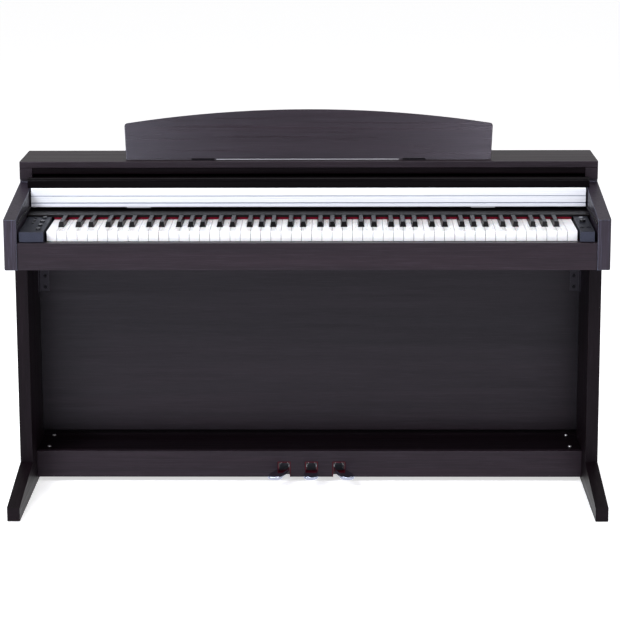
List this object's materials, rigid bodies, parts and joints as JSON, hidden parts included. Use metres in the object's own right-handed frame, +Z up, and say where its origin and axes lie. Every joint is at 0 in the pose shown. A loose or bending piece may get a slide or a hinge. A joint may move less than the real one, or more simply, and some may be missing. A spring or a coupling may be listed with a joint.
{
  "type": "digital piano",
  "caption": "Upright digital piano in dark rosewood on a panel stand with feet, sliding key cover with a silver leaf, curved music rest, control panels beside the keys and a row of foot pedals.",
  "frame": {"origin": "on the floor under the middle of the whole object's box", "axes": "+X to the player's right, +Y away from the player towards the back, +Z up"},
  "size_m": [1.391, 0.56, 0.9039],
  "materials": {
    "rosewood": "dark rosewood foil, satin, fine grain",
    "back_board": "black hardboard, matt",
    "silver_trim": "satin silver",
    "grip_grey": "satin grey",
    "strip_black": "satin black",
    "panel_grey": "fine texture, dark grey",
    "button_dark": "satin",
    "button_light": "pearl grey",
    "key_white": "gloss white",
    "key_black": "satin black",
    "red_felt": "wool felt",
    "pedal_chrome": "polished",
    "dark_plastic": "moulded, matt",
    "steel": "dark zinc",
    "board_green": "solder mask",
    "foot_rubber": "matt"
  },
  "bodies": {
    "cabinet": {"cabinet_back": "back_board", "cheek_blocks": "rosewood", "corner_brackets": "steel", "cover_rails": "dark_plastic", "fallboard_strip": "strip_black", "feet": "rosewood", "foot_pads": "foot_rubber", "key_bed": "rosewood", "key_felt": "red_felt", "key_slip": "rosewood", "keyboard_chassis": "dark_plastic", "left_control_panel": "panel_grey", "left_side_panel": "rosewood", "legs": "rosewood", "main_board": "board_green", "pedal_board": "rosewood", "pedal_frame": "steel", "pedal_lining": "red_felt", "pedal_shelf": "rosewood", "rear_panel": "rosewood", "rear_rail": "rosewood", "rear_sockets": "dark_plastic", "rest_hinges": "steel", "right_control_panel": "panel_grey", "right_side_panel": "rosewood", "speakers": "dark_plastic", "stand_screws": "steel", "top_board": "rosewood", "upper_fascia": "rosewood"},
    "cover": {"cover_nose": "rosewood", "cover_panel": "rosewood", "cover_shoes": "dark_plastic"},
    "cover_front": {"cover_leaf": "silver_trim", "cover_grips": "grip_grey"},
    "rest": {"music_rest": "rosewood", "rest_hinge_leaves": "steel"},
    "key_c_body": {"key_c": "key_white"},
    "key_d_body": {"key_d": "key_white"},
    "key_e_body": {"key_e": "key_white"},
    "key_f_body": {"key_f": "key_white"},
    "key_g_body": {"key_g": "key_white"},
    "key_a_body": {"key_a": "key_white"},
    "key_b_body": {"key_b": "key_white"},
    "key_c_sharp_body": {"key_c_sharp": "key_black"},
    "key_d_sharp_body": {"key_d_sharp": "key_black"},
    "key_f_sharp_body": {"key_f_sharp": "key_black"},
    "key_g_sharp_body": {"key_g_sharp": "key_black"},
    "key_a_sharp_body": {"key_a_sharp": "key_black"},
    "voice_button_1_body": {"voice_button_1": "button_dark"},
    "voice_button_2_body": {"voice_button_2": "button_dark"},
    "voice_button_3_body": {"voice_button_3": "button_dark"},
    "voice_button_4_body": {"voice_button_4": "button_dark"},
    "mode_button_1_body": {"mode_button_1": "button_dark"},
    "mode_button_2_body": {"mode_button_2": "button_dark"},
    "mode_button_3_body": {"mode_button_3": "button_dark"},
    "power_button_body": {"power_button": "button_light"},
    "volume_knob_body": {"volume_knob": "button_dark"},
    "left_pedal_body": {"left_pedal": "pedal_chrome"},
    "middle_pedal_body": {"middle_pedal": "pedal_chrome"},
    "right_pedal_body": {"right_pedal": "pedal_chrome"}
  },
  "joints": [
    {"name": "cover_slide", "type": "slide", "parent": "cabinet", "child": "cover", "axis": [0, -0.9917, -0.1289], "range_m": [0, 0.185]},
    {"name": "cover_leaf_fold", "type": "hinge", "parent": "cover", "child": "cover_front", "pos_m": [0, 0.046, 0.7266], "axis": [-1, 0, 0], "range_deg": [0, 84]},
    {"name": "music_rest_fold", "type": "hinge", "parent": "cabinet", "child": "rest", "pos_m": [0, 0.128, 0.7894], "axis": [-1, 0, 0], "range_deg": [0, 69.5]},
    {"name": "key_c_press", "type": "hinge", "parent": "cabinet", "child": "key_c_body", "pos_m": [0, 0.067, 0.648], "axis": [1, 0, 0], "range_deg": [0, 2.3], "stiffness_Nm_per_rad": 6, "springref_deg": -11.46},
    {"name": "key_d_press", "type": "hinge", "parent": "cabinet", "child": "key_d_body", "pos_m": [0, 0.067, 0.648], "axis": [1, 0, 0], "range_deg": [0, 2.3], "stiffness_Nm_per_rad": 6, "springref_deg": -11.46},
    {"name": "key_e_press", "type": "hinge", "parent": "cabinet", "child": "key_e_body", "pos_m": [0, 0.067, 0.648], "axis": [1, 0, 0], "range_deg": [0, 2.3], "stiffness_Nm_per_rad": 6, "springref_deg": -11.46},
    {"name": "key_f_press", "type": "hinge", "parent": "cabinet", "child": "key_f_body", "pos_m": [0, 0.067, 0.648], "axis": [1, 0, 0], "range_deg": [0, 2.3], "stiffness_Nm_per_rad": 6, "springref_deg": -11.46},
    {"name": "key_g_press", "type": "hinge", "parent": "cabinet", "child": "key_g_body", "pos_m": [0, 0.067, 0.648], "axis": [1, 0, 0], "range_deg": [0, 2.3], "stiffness_Nm_per_rad": 6, "springref_deg": -11.46},
    {"name": "key_a_press", "type": "hinge", "parent": "cabinet", "child": "key_a_body", "pos_m": [0, 0.067, 0.648], "axis": [1, 0, 0], "range_deg": [0, 2.3], "stiffness_Nm_per_rad": 6, "springref_deg": -11.46},
    {"name": "key_b_press", "type": "hinge", "parent": "cabinet", "child": "key_b_body", "pos_m": [0, 0.067, 0.648], "axis": [1, 0, 0], "range_deg": [0, 2.3], "stiffness_Nm_per_rad": 6, "springref_deg": -11.46},
    {"name": "key_c_sharp_press", "type": "hinge", "parent": "cabinet", "child": "key_c_sharp_body", "pos_m": [0, 0.067, 0.648], "axis": [1, 0, 0], "range_deg": [0, 2.3], "stiffness_Nm_per_rad": 6, "springref_deg": -11.46},
    {"name": "key_d_sharp_press", "type": "hinge", "parent": "cabinet", "child": "key_d_sharp_body", "pos_m": [0, 0.067, 0.648], "axis": [1, 0, 0], "range_deg": [0, 2.3], "stiffness_Nm_per_rad": 6, "springref_deg": -11.46},
    {"name": "key_f_sharp_press", "type": "hinge", "parent": "cabinet", "child": "key_f_sharp_body", "pos_m": [0, 0.067, 0.648], "axis": [1, 0, 0], "range_deg": [0, 2.3], "stiffness_Nm_per_rad": 6, "springref_deg": -11.46},
    {"name": "key_g_sharp_press", "type": "hinge", "parent": "cabinet", "child": "key_g_sharp_body", "pos_m": [0, 0.067, 0.648], "axis": [1, 0, 0], "range_deg": [0, 2.3], "stiffness_Nm_per_rad": 6, "springref_deg": -11.46},
    {"name": "key_a_sharp_press", "type": "hinge", "parent": "cabinet", "child": "key_a_sharp_body", "pos_m": [0, 0.067, 0.648], "axis": [1, 0, 0], "range_deg": [0, 2.3], "stiffness_Nm_per_rad": 6, "springref_deg": -11.46},
    {"name": "left_pedal_press", "type": "hinge", "parent": "cabinet", "child": "left_pedal_body", "pos_m": [-0.061, 0.14, 0.043], "axis": [1, 0, 0], "range_deg": [0, 4.3], "stiffness_Nm_per_rad": 12, "springref_deg": -6.88},
    {"name": "middle_pedal_press", "type": "hinge", "parent": "cabinet", "child": "middle_pedal_body", "pos_m": [0.006, 0.14, 0.043], "axis": [1, 0, 0], "range_deg": [0, 4.3], "stiffness_Nm_per_rad": 12, "springref_deg": -6.88},
    {"name": "right_pedal_press", "type": "hinge", "parent": "cabinet", "child": "right_pedal_body", "pos_m": [0.073, 0.14, 0.043], "axis": [1, 0, 0], "range_deg": [0, 4.3], "stiffness_Nm_per_rad": 12, "springref_deg": -6.88},
    {"name": "voice_button_1_press", "type": "slide", "parent": "cabinet", "child": "voice_button_1_body", "axis": [0, 0, -1], "range_m": [0, 0.0015], "stiffness_N_per_m": 400, "springref_m": -0.002},
    {"name": "voice_button_2_press", "type": "slide", "parent": "cabinet", "child": "voice_button_2_body", "axis": [0, 0, -1], "range_m": [0, 0.0015], "stiffness_N_per_m": 400, "springref_m": -0.002},
    {"name": "voice_button_3_press", "type": "slide", "parent": "cabinet", "child": "voice_button_3_body", "axis": [0, 0, -1], "range_m": [0, 0.0015], "stiffness_N_per_m": 400, "springref_m": -0.002},
    {"name": "voice_button_4_press", "type": "slide", "parent": "cabinet", "child": "voice_button_4_body", "axis": [0, 0, -1], "range_m": [0, 0.0015], "stiffness_N_per_m": 400, "springref_m": -0.002},
    {"name": "mode_button_1_press", "type": "slide", "parent": "cabinet", "child": "mode_button_1_body", "axis": [0, 0, -1], "range_m": [0, 0.0015], "stiffness_N_per_m": 400, "springref_m": -0.002},
    {"name": "mode_button_2_press", "type": "slide", "parent": "cabinet", "child": "mode_button_2_body", "axis": [0, 0, -1], "range_m": [0, 0.0015], "stiffness_N_per_m": 400, "springref_m": -0.002},
    {"name": "mode_button_3_press", "type": "slide", "parent": "cabinet", "child": "mode_button_3_body", "axis": [0, 0, -1], "range_m": [0, 0.0015], "stiffness_N_per_m": 400, "springref_m": -0.002},
    {"name": "power_button_press", "type": "slide", "parent": "cabinet", "child": "power_button_body", "axis": [0, 0, -1], "range_m": [0, 0.0015], "stiffness_N_per_m": 400, "springref_m": -0.002},
    {"name": "volume_knob_turn", "type": "hinge", "parent": "cabinet", "child": "volume_knob_body", "pos_m": [0.6415, -0.087, 0.67], "axis": [0, 0, -1], "range_deg": [-150, 150]}
  ],
  "couplings": [
    {"joint": "cover_leaf_fold", "follows": "cover_slide", "rad_per_m": 7.79}
  ]
}
